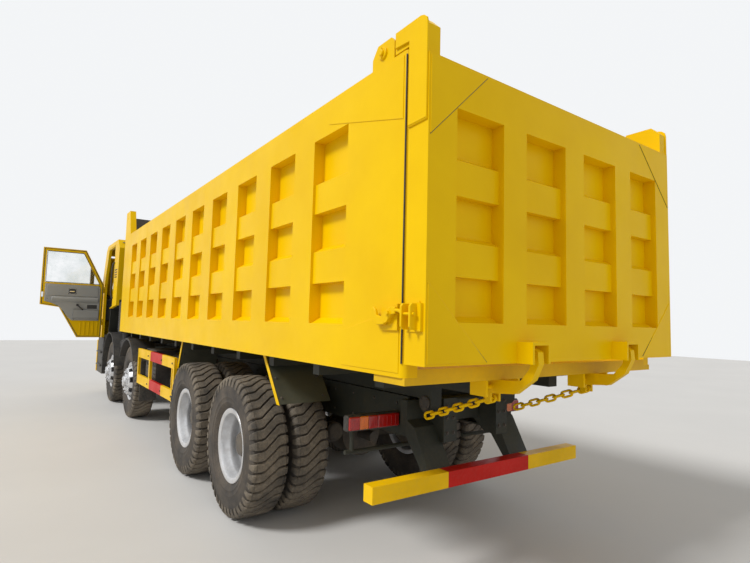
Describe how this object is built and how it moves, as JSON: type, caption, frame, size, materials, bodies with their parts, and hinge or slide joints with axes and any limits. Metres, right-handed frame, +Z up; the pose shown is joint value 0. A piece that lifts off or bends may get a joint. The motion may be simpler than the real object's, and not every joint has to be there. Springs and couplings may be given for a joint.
{
  "type": "dump truck",
  "caption": "Tipping truck with a cab and four axles: a long ribbed load bed tips on a telescopic hoist, its tailgate swings from the top, its doors open, its wheels roll and steer.",
  "frame": {"origin": "the ground under the centre of the whole box, with the left door open", "axes": "+X to the truck's left, +Y to its rear, +Z up"},
  "size_m": [3.865, 10.648, 3.41],
  "materials": {
    "frame_paint": "satin dark chassis paint",
    "cast_iron": "cast, painted dark",
    "tank_metal": "brushed",
    "yellow_paint": "glossy yellow",
    "headboard_paint": "yellow, dark at its upper guard",
    "floor_grey": "grey",
    "dark_plastic": "textured black plastic",
    "lamp_lens": "clear lens",
    "tail_lens": "red lens",
    "glass": "clear",
    "trim_grey": "grained grey",
    "seat_fabric": "woven",
    "tyre_rubber": "dusty black",
    "rim_silver": "silver paint",
    "hoist_chrome": "polished"
  },
  "bodies": {
    "chassis": {"chassis_frame": "frame_paint", "frame_tail": "frame_paint", "front_axles": "frame_paint", "rear_axles": "frame_paint", "suspension": "frame_paint", "engine_block": "cast_iron", "driveline": "frame_paint", "side_tanks": "tank_metal", "side_guards": "yellow_paint", "rear_underrun": "yellow_paint", "tail_lamps": "tail_lens", "cab_floor": "floor_grey", "cab_front": "yellow_paint", "cab_sides": "yellow_paint", "cab_rear_and_roof": "yellow_paint", "cab_glass": "glass", "front_bumper": "dark_plastic", "front_grille": "dark_plastic", "headlamps": "lamp_lens", "front_fenders": "dark_plastic", "seats": "seat_fabric", "dashboard": "trim_grey"},
    "knuckle_1_left": {"knuckle_1_left": "cast_iron"},
    "wheel_1_left": {"front_tyre_1_left": "tyre_rubber", "front_rim_1_left": "rim_silver"},
    "knuckle_1_right": {"knuckle_1_right": "cast_iron"},
    "wheel_1_right": {"front_tyre_1_right": "tyre_rubber", "front_rim_1_right": "rim_silver"},
    "knuckle_2_left": {"knuckle_2_left": "cast_iron"},
    "wheel_2_left": {"front_tyre_2_left": "tyre_rubber", "front_rim_2_left": "rim_silver"},
    "knuckle_2_right": {"knuckle_2_right": "cast_iron"},
    "wheel_2_right": {"front_tyre_2_right": "tyre_rubber", "front_rim_2_right": "rim_silver"},
    "wheel_3_left": {"rear_tyres_1_left": "tyre_rubber", "rear_rims_1_left": "rim_silver"},
    "wheel_3_right": {"rear_tyres_1_right": "tyre_rubber", "rear_rims_1_right": "rim_silver"},
    "wheel_4_left": {"rear_tyres_2_left": "tyre_rubber", "rear_rims_2_left": "rim_silver"},
    "wheel_4_right": {"rear_tyres_2_right": "tyre_rubber", "rear_rims_2_right": "rim_silver"},
    "door_left": {"door_left_panel": "yellow_paint", "door_left_trim": "trim_grey", "door_left_glass": "glass"},
    "door_right": {"door_right_panel": "yellow_paint", "door_right_trim": "trim_grey", "door_right_glass": "glass"},
    "bed": {"bed_floor": "yellow_paint", "bed_side_left": "yellow_paint", "bed_side_right": "yellow_paint", "bed_headboard": "headboard_paint", "bed_subframe": "frame_paint", "bed_mudguards": "frame_paint", "bed_hooks": "yellow_paint", "chains": "yellow_paint"},
    "tailgate": {"tailgate": "yellow_paint"},
    "hoist_tube": {"hoist_tube": "frame_paint"},
    "hoist_stage_1": {"hoist_stage_1": "hoist_chrome"},
    "hoist_stage_2": {"hoist_stage_2": "hoist_chrome"},
    "hoist_rod": {"hoist_rod": "hoist_chrome"}
  },
  "joints": [
    {"name": "steer_1_left", "type": "hinge", "parent": "chassis", "child": "knuckle_1_left", "pos_m": [0.4325, -3.734, 0.5625], "axis": [0, 0, 1], "range_deg": [-35, 35]},
    {"name": "roll_1_left", "type": "hinge", "parent": "knuckle_1_left", "child": "wheel_1_left", "pos_m": [0.6225, -3.734, 0.5625], "axis": [1, 0, 0], "continuous": true},
    {"name": "steer_1_right", "type": "hinge", "parent": "chassis", "child": "knuckle_1_right", "pos_m": [-1.2075, -3.734, 0.5625], "axis": [0, 0, 1], "range_deg": [-35, 35]},
    {"name": "roll_1_right", "type": "hinge", "parent": "knuckle_1_right", "child": "wheel_1_right", "pos_m": [-1.3975, -3.734, 0.5625], "axis": [1, 0, 0], "continuous": true},
    {"name": "steer_2_left", "type": "hinge", "parent": "chassis", "child": "knuckle_2_left", "pos_m": [0.4325, -1.934, 0.5625], "axis": [0, 0, 1], "range_deg": [-24.5, 24.5]},
    {"name": "roll_2_left", "type": "hinge", "parent": "knuckle_2_left", "child": "wheel_2_left", "pos_m": [0.6225, -1.934, 0.5625], "axis": [1, 0, 0], "continuous": true},
    {"name": "steer_2_right", "type": "hinge", "parent": "chassis", "child": "knuckle_2_right", "pos_m": [-1.2075, -1.934, 0.5625], "axis": [0, 0, 1], "range_deg": [-24.5, 24.5]},
    {"name": "roll_2_right", "type": "hinge", "parent": "knuckle_2_right", "child": "wheel_2_right", "pos_m": [-1.3975, -1.934, 0.5625], "axis": [1, 0, 0], "continuous": true},
    {"name": "roll_3_left", "type": "hinge", "parent": "chassis", "child": "wheel_3_left", "pos_m": [0.7025, 1.516, 0.5625], "axis": [1, 0, 0], "continuous": true},
    {"name": "roll_3_right", "type": "hinge", "parent": "chassis", "child": "wheel_3_right", "pos_m": [-1.4775, 1.516, 0.5625], "axis": [1, 0, 0], "continuous": true},
    {"name": "roll_4_left", "type": "hinge", "parent": "chassis", "child": "wheel_4_left", "pos_m": [0.7025, 2.866, 0.5625], "axis": [1, 0, 0], "continuous": true},
    {"name": "roll_4_right", "type": "hinge", "parent": "chassis", "child": "wheel_4_right", "pos_m": [-1.4775, 2.866, 0.5625], "axis": [1, 0, 0], "continuous": true},
    {"name": "door_left_hinge", "type": "hinge", "parent": "chassis", "child": "door_left", "pos_m": [0.8485, -4.738, 2.22], "axis": [0, 0, 1], "range_deg": [0, 90]},
    {"name": "door_right_hinge", "type": "hinge", "parent": "chassis", "child": "door_right", "pos_m": [-1.6235, -4.738, 2.22], "axis": [0, 0, 1], "range_deg": [0, 90]},
    {"name": "tip", "type": "hinge", "parent": "chassis", "child": "bed", "pos_m": [-0.3875, 4.366, 1.06], "axis": [-1, 0, 0], "range_deg": [0, 45]},
    {"name": "tailgate_swing", "type": "hinge", "parent": "bed", "child": "tailgate", "pos_m": [-0.3875, 4.846, 3.05], "axis": [1, 0, 0], "range_deg": [0, 70]},
    {"name": "hoist_lean", "type": "hinge", "parent": "chassis", "child": "hoist_tube", "pos_m": [-0.3875, -3.004, 0.9], "axis": [-1, 0, 0], "range_deg": [0, 28.31]},
    {"name": "hoist_slide_1", "type": "slide", "parent": "hoist_tube", "child": "hoist_stage_1", "axis": [0, 0, 1], "range_m": [0, 1.8459]},
    {"name": "hoist_slide_2", "type": "slide", "parent": "hoist_stage_1", "child": "hoist_stage_2", "axis": [0, 0, 1], "range_m": [0, 1.8459]},
    {"name": "hoist_slide_3", "type": "slide", "parent": "hoist_stage_2", "child": "hoist_rod", "axis": [0, 0, 1], "range_m": [0, 1.8459]}
  ],
  "couplings": [
    {"joint": "steer_1_right", "follows": "steer_1_left", "ratio": 1},
    {"joint": "steer_2_left", "follows": "steer_1_left", "ratio": 0.7},
    {"joint": "steer_2_right", "follows": "steer_1_left", "ratio": 0.7},
    {"joint": "hoist_lean", "follows": "tip", "ratio": 0.61805},
    {"joint": "hoist_slide_1", "follows": "tip", "m_per_rad": 2.3376},
    {"joint": "hoist_slide_2", "follows": "tip", "m_per_rad": 2.3376},
    {"joint": "hoist_slide_3", "follows": "tip", "m_per_rad": 2.3376}
  ]
}
